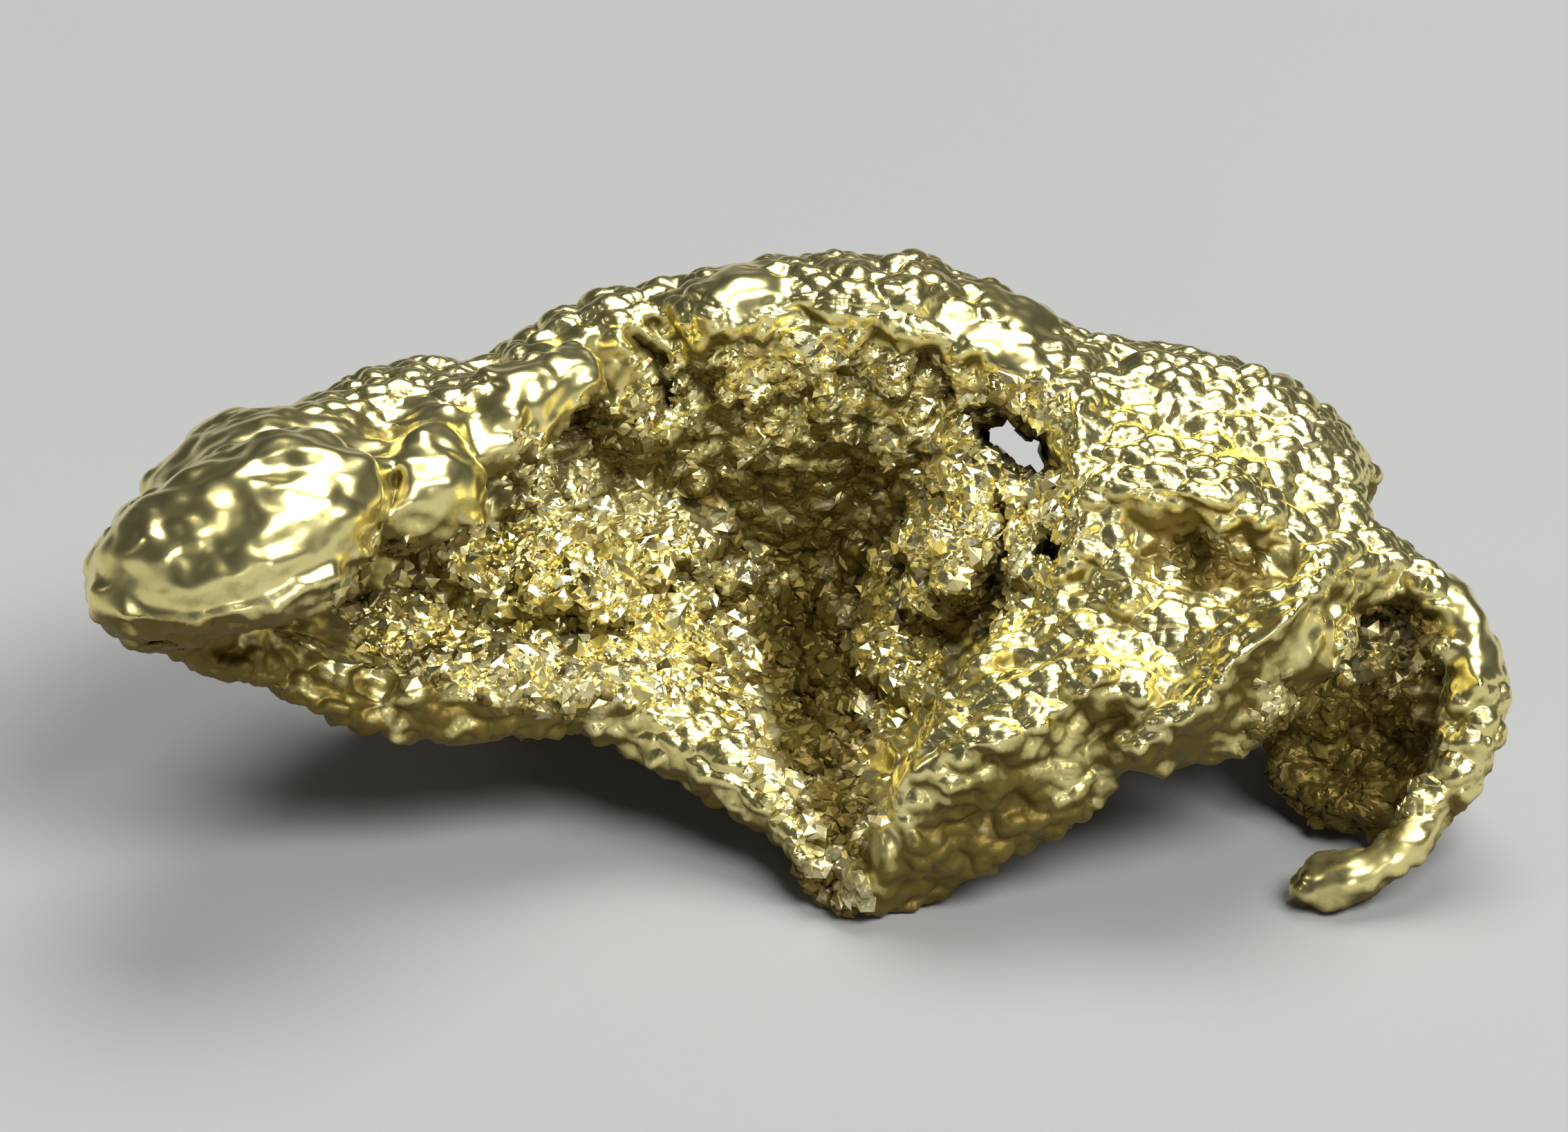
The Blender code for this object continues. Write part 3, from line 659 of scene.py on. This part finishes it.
# Painted shade in the hollow and on what faces down, added to the painted patches of dirt, shade
# and light.
dirt_and_shade = hollow + front * painted + UNDERSIDE_SHADE_GAIN * shaded_below
crevice_shade = spread(skin.data, crevice_shade, CREVICE_ROUNDS)
dirt_and_shade = spread(skin.data, dirt_and_shade, DIRT_AND_SHADE_ROUNDS)
keep_layer(skin.data, "crevice_shade", crevice_shade)
keep_layer(skin.data, "dirt_and_shade", dirt_and_shade)
print("mean dirt", round(float(dirt_and_shade.mean()), 3))

# %% [markdown]
# ## Sugar and crystals
# Inside the hollow each gold grain stands free, an eighth to a quarter of a millimetre across.
# Particles would be quick, but they aren't mesh.  So a few grain shapes are made once, from
# dented balls, and copied over the skin with arrays: every copy gets its own turn, size and
# depth, and all of them are joined in one mesh.  They lie along the surface, as grains that
# grew on it do, and their faces stay flat, so that each one flashes at its own angle.

# %% Make grain shapes
chance = np.random.default_rng(17)
KINDS_OF_GRAIN = 16


def grain_shape():
    """A closed ball of twenty faces with radius about 1, pushed in and out at random."""
    model = bmesh.new()
    bmesh.ops.create_icosphere(model, subdivisions=1, radius=1.0)
    for vert in model.verts:
        vert.co *= chance.uniform(0.6, 1.35)
    corners = np.array([v.co for v in model.verts])
    faces = np.array([[v.index for v in f.verts] for f in model.faces])
    model.free()
    return corners, faces


grain_shapes = [grain_shape() for _ in range(KINDS_OF_GRAIN)]
print("a grain has", len(grain_shapes[0][1]), "faces")

# %% Scatter grains over the skin
TRIES = 5.0                    # for each cell of the spacing


def triangles_of(mesh):
    """The corners of a mesh's triangles, three to a row."""
    mesh.calc_loop_triangles()
    found = np.empty(len(mesh.loop_triangles) * 3, np.int64)
    mesh.loop_triangles.foreach_get("vertices", found)
    return found.reshape(-1, 3)


def unit(rows):
    """Rows made one long."""
    return rows / np.linalg.norm(rows, axis=1)[:, None]


def scatter(mesh, weight, spacing, most):
    """Places spread over the skin where weight is high, one to a cell of the spacing."""
    corners = triangles_of(mesh)
    points = points_of(mesh)
    a, b, c = (points[corners[:, i]] for i in range(3))
    area = np.linalg.norm(np.cross(b - a, c - a), axis=1) / 2.0
    share = area * weight[corners].mean(axis=1)
    tries = int(TRIES * share.sum() / spacing ** 2)
    picked = chance.choice(len(share), size=tries, p=share / share.sum())
    s, t = np.sqrt(chance.random(tries)), chance.random(tries)
    mix = np.column_stack((1 - s, s * (1 - t), s * t))[:, :, None]
    places = (mix * points[corners[picked]]).sum(axis=1)
    normals = unit((mix * normals_of(mesh)[corners[picked]]).sum(axis=1))
    _, first = np.unique(np.floor(places / spacing).astype(np.int64), axis=0, return_index=True)
    if len(first) > most:
        first = chance.choice(first, most, replace=False)
    first.sort()
    return places[first], normals[first], corners[picked][first, 0]


print("ready to scatter")

# %% Grow a crust
GRAIN_SHADE = 0.5              # grains stand up, so they are half as sheltered as the skin


def lie_along(normals, sway):
    """Axes for grains that lie flat, with their long side roughly along the nugget."""
    across = unit(np.cross(normals, AXIS_U + 1e-3))
    along = np.cross(across, normals)
    angle = chance.normal(0.0, sway, len(normals))[:, None]
    turned = np.cos(angle) * along + np.sin(angle) * across
    return np.stack((turned, np.cross(normals, turned), normals), axis=2)


def crust(name, weight, spacing, radii, form, depth, most, sway=0.6):
    """A joined mesh of grains that lie in the skin."""
    places, normals, near = scatter(skin.data, weight, spacing, most)
    count = len(places)
    size = radii[0] + (radii[1] - radii[0]) * chance.random(count) ** 2
    stretch = size[:, None] * np.array(form) * chance.uniform(0.8, 1.25, (count, 3))
    axes = lie_along(normals, sway) * stretch[:, None, :]
    centres = places + normals * (chance.uniform(*depth, count) * size)[:, None]
    kinds = chance.integers(0, len(grain_shapes), count)
    points, faces, owners, start = [], [], [], 0
    for kind, (corners, ball) in enumerate(grain_shapes):
        mine = np.flatnonzero(kinds == kind)
        grown = np.einsum("nij,kj->nki", axes[mine], corners) + centres[mine, None, :]
        points.append(grown.reshape(-1, 3))
        step = np.arange(len(mine)) * len(corners) + start
        faces.append((ball[None] + step[:, None, None]).reshape(-1, 3))
        owners.append(np.repeat(mine, len(corners)))
        start += len(mine) * len(corners)
    points, faces, owners = (np.concatenate(rows) for rows in (points, faces, owners))
    made = bpy.data.meshes.new(name)
    made.vertices.add(len(points))
    made.vertices.foreach_set("co", points.ravel())
    made.loops.add(faces.size)
    made.loops.foreach_set("vertex_index", faces.ravel())
    made.polygons.add(len(faces))
    made.polygons.foreach_set("loop_start", np.arange(0, faces.size, 3))
    made.update(calc_edges=True)
    made.shade_flat()
    keep_layer(made, "tone", chance.random(count)[owners])
    # Each grain takes the painted shade and the dirt of the skin under it.
    keep_layer(made, "crevice_shade", GRAIN_SHADE * crevice_shade[near][owners])
    keep_layer(made, "dirt_and_shade", dirt_and_shade[near][owners])
    print(name, count, "grains,", len(faces), "faces")
    return new_object(name, made)

# %% Lay the crusts
HEAP_WIDTH = 0.5               # grains gather in heaps about this wide
GRAIN_SPACING = 0.1
SUGAR_RADII = (0.045, 0.1)
SUGAR_DEPTH = (-0.7, 0.0)      # how far a grain stands out, as a share of its size
CRYSTAL_RADII = (0.045, 0.16)
CRYSTAL_DEPTH = (-0.5, 0.3)
FLAT = (1.7, 1.0, 0.6)
CHUNKY = (1.3, 1.0, 0.8)
MOST_GRAINS = 9900             # keeps each crust under two hundred thousand faces

bare = front * (1.0 - read_layer(skin.data, "worn"))
heaped = each(points_of(skin.data), HEAP_WIDTH, noise.noise)
heaped = np.clip(0.75 + 1.2 * heaped, 0.1, 1.0)
sugar_grains = crust("sugar_grains", bare * heaped * patch(U, V, SUGAR), GRAIN_SPACING,
                     SUGAR_RADII, FLAT, SUGAR_DEPTH, MOST_GRAINS)
crystal_grains = crust("crystal_grains", bare * heaped * patch(U, V, CRYSTAL), GRAIN_SPACING,
                       CRYSTAL_RADII, CHUNKY, CRYSTAL_DEPTH, MOST_GRAINS)

# %% [markdown]
# ## The skin in three lengths
# One mesh of half a million faces is clumsy to handle, so the skin is parted in three along
# its length.  Each length keeps the normals of the whole, so that no seam shows.

# %% Part the skin in three
SKIN_CUTS = (-2.15, 3.15)      # along u


def length_of_skin(name, chosen):
    """A copy of some of the skin's faces, shaded as a part of the whole."""
    corners = whole_corners[chosen]
    used, renamed = np.unique(corners, return_inverse=True)
    made = bpy.data.meshes.new(name)
    made.vertices.add(len(used))
    made.vertices.foreach_set("co", whole_points[used].ravel())
    made.loops.add(corners.size)
    made.loops.foreach_set("vertex_index", renamed.ravel())
    made.polygons.add(len(corners))
    made.polygons.foreach_set("loop_start", np.arange(0, corners.size, 3))
    made.update(calc_edges=True)
    for layer in ("worn", "crevice_shade", "dirt_and_shade"):
        keep_layer(made, layer, read_layer(skin.data, layer)[used])
    made.shade_smooth()
    made.normals_split_custom_set_from_vertices(whole_normals[used])
    print(name, len(corners), "faces")
    return new_object(name, made)


whole_points, whole_normals = points_of(skin.data), normals_of(skin.data)
whole_corners = triangles_of(skin.data)
middles = to_plane(whole_points[whole_corners].mean(axis=1))[0]
bands = np.digitize(middles, SKIN_CUTS)
names = ("skin_of_thumb", "skin_of_hollow", "skin_of_hood")
skins = [length_of_skin(name, bands == band) for band, name in enumerate(names)]
bpy.data.objects.remove(skin)

# %% [markdown]
# ## Gold and what clings to it
# Gold is coloured all through, so its colour belongs to its reflection: a metallic surface.
# Native gold holds some silver, which pales it to a greenish yellow.  Brown river dirt clings
# where nothing rubs, and the same brown is painted in as shade in crevices, in the hollow and
# on what faces down.  Both finishes share their grain and their stain with painted shade, so
# these are node groups, each with its own values in each finish.

# %% Node helpers
def plug(tree, made, key, value):
    """Link a node's output into an input, or set the input to a plain value."""
    if isinstance(value, bpy.types.NodeSocket):
        tree.links.new(value, made.inputs[key])
    else:
        made.inputs[key].default_value = value


def place_node(tree, kind, inputs=None, **settings):
    """Add a node, set it up and fill its inputs."""
    made = tree.nodes.new(kind)
    for key, value in settings.items():
        setattr(made, key, value)
    for key, value in (inputs or {}).items():
        plug(tree, made, key, value)
    return made


def sum_up(tree, operation, *values):
    """A Math node."""
    return place_node(tree, "ShaderNodeMath", dict(enumerate(values)),
                      operation=operation).outputs[0]


def layer_of(tree, name):
    """The value that a mesh attribute has at each point."""
    return place_node(tree, "ShaderNodeAttribute", attribute_name=name).outputs["Fac"]


def millimetres(tree):
    """Coordinates on the object, in millimetres."""
    where = place_node(tree, "ShaderNodeTexCoord").outputs["Object"]
    return place_node(tree, "ShaderNodeVectorMath", {0: where, "Scale": 1.0 / MM},
                      operation="SCALE").outputs["Vector"]


def ranged(tree, value, from_low, from_high, to_low=0.0, to_high=1.0):
    """A value moved from one range to another."""
    return place_node(tree, "ShaderNodeMapRange",
                      {"Value": value, "From Min": from_low, "From Max": from_high,
                       "To Min": to_low, "To Max": to_high}).outputs[0]


def blended(tree, factor, a, b):
    """One colour over another."""
    return place_node(tree, "ShaderNodeMix", {0: factor, 6: a, 7: b},
                      data_type="RGBA").outputs[2]


def new_group(name, inputs, output):
    """A node group with number inputs and one number output."""
    group = bpy.data.node_groups.new(name, "ShaderNodeTree")
    for label, value in inputs.items():
        made = group.interface.new_socket(name=label, in_out="INPUT",
                                          socket_type="NodeSocketFloat")
        made.default_value = value
    group.interface.new_socket(name=output, in_out="OUTPUT", socket_type="NodeSocketFloat")
    return group, group.nodes.new("NodeGroupInput").outputs, group.nodes.new("NodeGroupOutput")


print("node helpers ready")

# %% Node groups for grain, and for stain with painted shade
fine_grain, given, handed = new_group("fine_grain", {"Width": 0.07, "Smoothness": 0.0}, "Height")
where = millimetres(fine_grain)
per_mm = sum_up(fine_grain, "DIVIDE", 1.0, given["Width"])
cells = place_node(fine_grain, "ShaderNodeTexVoronoi", {"Vector": where, "Scale": per_mm},
                   feature="SMOOTH_F1")
cloud = place_node(fine_grain, "ShaderNodeTexNoise",
                   {"Vector": where, "Scale": per_mm, "Detail": 2.0})
height = sum_up(fine_grain, "SUBTRACT", cloud.outputs["Fac"], cells.outputs["Distance"])
height = sum_up(fine_grain, "MULTIPLY", height,
                sum_up(fine_grain, "SUBTRACT", 1.0, given["Smoothness"]))
plug(fine_grain, handed, "Height", height)

# The mask darkens with the painted shade of crevices, with the summed layer of dirt and painted
# shade, and with random spots.
recess_shade_and_stain, given, handed = new_group("recess_shade_and_stain", {"From": 0.7, "To": 1.3}, "Mask")
cloud = place_node(recess_shade_and_stain, "ShaderNodeTexNoise",
                   {"Vector": millimetres(recess_shade_and_stain), "Scale": 3.2, "Detail": 5.0})
closed = sum_up(recess_shade_and_stain, "MULTIPLY_ADD", layer_of(recess_shade_and_stain, "crevice_shade"), 1.5,
                layer_of(recess_shade_and_stain, "dirt_and_shade"))
spots = ranged(recess_shade_and_stain, cloud.outputs["Fac"], 0.36, 0.64)
uneven = sum_up(recess_shade_and_stain, "MULTIPLY_ADD", spots, 0.55, closed)
plug(recess_shade_and_stain, handed, "Mask", ranged(recess_shade_and_stain, uneven, given["From"], given["To"]))
print("node groups:", [group.name for group in bpy.data.node_groups])

# %% Two finishes of gold
FOLD_GOLDS = ((0.92, 0.83, 0.42, 1.0), (0.87, 0.75, 0.26, 1.0))
GRAIN_GOLDS = ((0.96, 0.89, 0.56, 1.0), (0.91, 0.81, 0.36, 1.0))
# The brown of river dirt, also mixed in as painted shade.
DIRT_AND_SHADE_BROWN = (0.16, 0.115, 0.022, 1.0)
DIRT_AND_SHADE_METAL = 0.7               # dirt is thin and painted shade only darkens, so the metal still shines through
DIRT_AND_SHADE_ROUGHNESS = 0.25          # how much rougher than the metal the dirt and painted shade are


def use_group(tree, group, **values):
    """Place a node group with its own values."""
    made = place_node(tree, "ShaderNodeGroup", node_tree=group)
    for key, value in values.items():
        plug(tree, made, key, value)
    return made.outputs[0]


def gold_finish(name, golds, tint_of, wear_layer, rough, grain_width, bump_height, shade_and_stain):
    """Metallic gold with stains and painted shade in its recesses and a fine grain in its surface.
    """
    material = bpy.data.materials.new(name)
    material.use_nodes = True
    tree = material.node_tree
    shader = tree.nodes["Principled BSDF"]
    wear = layer_of(tree, wear_layer)
    mask = use_group(tree, recess_shade_and_stain, From=shade_and_stain[0], To=shade_and_stain[1])
    metal = blended(tree, tint_of(tree), *golds)
    plug(tree, shader, "Base Color", blended(tree, mask, metal, DIRT_AND_SHADE_BROWN))
    rubbed = ranged(tree, wear, 0.0, 1.0, *rough)
    plug(tree, shader, "Roughness", sum_up(tree, "MULTIPLY_ADD", mask, DIRT_AND_SHADE_ROUGHNESS, rubbed))
    plug(tree, shader, "Metallic", ranged(tree, mask, 0.0, 1.0, 1.0, DIRT_AND_SHADE_METAL))
    grain = use_group(tree, fine_grain, Width=grain_width, Smoothness=wear)
    bump = place_node(tree, "ShaderNodeBump", {"Height": grain, "Distance": bump_height * MM})
    plug(tree, shader, "Normal", bump.outputs["Normal"])
    return material


def patchy(tree):
    """Slow clouds of warmer and paler gold."""
    return place_node(tree, "ShaderNodeTexNoise", {"Vector": millimetres(tree), "Scale": 0.9,
                                                   "Detail": 5.0}).outputs["Fac"]


skin_gold = gold_finish("worn_gold", FOLD_GOLDS, patchy, "worn", (0.27, 0.27), 0.09, 0.008,
                        (0.75, 1.8))
grain_gold = gold_finish("sugary_gold", GRAIN_GOLDS, lambda tree: layer_of(tree, "tone"), "tone",
                         (0.22, 0.32), 0.06, 0.006, (0.95, 1.8))
print("finishes:", skin_gold.name, grain_gold.name)

# %% [markdown]
# ## Back to real size, and onto the solid
# The bench sizes are shrunk to metres.  Each piece then rides on the nugget's one body,
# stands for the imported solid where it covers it, and says which finish it takes.  Its lowest
# pebbles are pressed up a little first, so that none of them sinks into the ground.

# %% Finish the pieces
GROUND_EASE = 0.1              # pressing starts this close to the ground


def press_up(mesh):
    """Squeeze whatever lies lower than the ease into the room above the ground."""
    height = points_of(mesh)[:, 2]
    squeezed = GROUND_EASE * np.exp(np.minimum(height / GROUND_EASE, 1.0) - 1.0)
    lifts = np.where(height < GROUND_EASE, squeezed - height, 0.0)
    move_points(mesh, lifts[:, None] * (0.0, 0.0, 1.0))
    return lifts.max()


for piece in (*skins, sugar_grains, crystal_grains):
    print(piece.name, "is pressed up by", round(float(press_up(piece.data)), 3), "mm at most")
    piece.data.transform(Matrix.Scale(MM, 4))
    piece.data.materials.append(skin_gold if piece in skins else grain_gold)
    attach(piece, "root")
    if piece in skins:
        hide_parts("gold_nugget")
print("pieces:", *[piece.name for piece in (*skins, sugar_grains, crystal_grains)])

# %% [markdown]
# ## A plain studio
# Shiny metal shows the room more than itself.  A pale sheet below, a dim even room and a few
# soft lamps give it bright glints, and leave enough dark around them for the metal to look
# like metal.  The room is a little lighter near the horizon, where a real sheet would curve
# up, so that no hard line runs across the reflections.

# %% Floor and room
FLOOR_WIDTH = 1.6
FLOOR_GREY = (0.37, 0.37, 0.364, 1.0)
HORIZON_GREY = (0.2, 0.2, 0.197, 1.0)
ROOM_GREY = (0.05, 0.052, 0.055, 1.0)
HORIZON_TOP = 0.35

floor_model = bmesh.new()
bmesh.ops.create_grid(floor_model, x_segments=1, y_segments=1, size=FLOOR_WIDTH / 2)
floor_mesh = bpy.data.meshes.new("floor")
floor_model.to_mesh(floor_mesh)
floor_model.free()
floor = new_object("floor", floor_mesh)
floor_finish = bpy.data.materials.new("pale_sheet")
floor_finish.use_nodes = True
sheet = floor_finish.node_tree.nodes["Principled BSDF"]
sheet.inputs["Base Color"].default_value = FLOOR_GREY
sheet.inputs["Roughness"].default_value = 0.9
floor.data.materials.append(floor_finish)

room = bpy.data.worlds.new("room")
bpy.context.scene.world = room
room.use_nodes = True
sky = room.node_tree
way = place_node(sky, "ShaderNodeTexCoord").outputs["Generated"]
up = place_node(sky, "ShaderNodeSeparateXYZ", {0: way}).outputs["Z"]
high = place_node(sky, "ShaderNodeMapRange", {"Value": up, "From Max": HORIZON_TOP},
                  interpolation_type="SMOOTHSTEP").outputs[0]
plug(sky, sky.nodes["Background"], "Color", blended(sky, high, HORIZON_GREY, ROOM_GREY))

# %% Lamps and camera
AIM = Vector(from_plane(-0.166, 5.04, 0.0)) * MM
CAMERA_AWAY = 0.2
LENS = 326.0


def lamp(name, azimuth, elevation, away, size, watts):
    """A round soft lamp aimed at the nugget."""
    data = bpy.data.lights.new(name, "AREA")
    data.shape = "DISK"
    data.size = size
    data.energy = watts
    made = new_object(name, data)
    a, e = math.radians(azimuth), math.radians(elevation)
    way = Vector((math.sin(a) * math.cos(e), -math.cos(a) * math.cos(e), math.sin(e)))
    made.location = AIM + way * away
    made.rotation_euler = way.to_track_quat("Z", "Y").to_euler()


lamp("key_lamp", 30.0, 52.0, 0.4, 0.17, 1.15)
lamp("front_lamp", 10.0, 10.0, 0.4, 0.09, 0.15)
lamp("left_lamp", -80.0, 34.0, 0.4, 0.06, 0.06)
lamp("right_lamp", 60.0, 46.0, 0.4, 0.13, 0.55)
lamp("top_lamp", 160.0, 70.0, 0.4, 0.28, 1.3)

eye = bpy.data.cameras.new("camera")
eye.lens = LENS
eye.clip_start = 0.01
camera = new_object("camera", eye)
out = Vector(AXIS_W)
camera.location = AIM + out * CAMERA_AWAY
camera.rotation_euler = out.to_track_quat("Z", "Y").to_euler()
bpy.context.scene.camera = camera
bpy.context.scene.view_settings.view_transform = "Standard"
print("camera at", [round(x, 4) for x in camera.location])
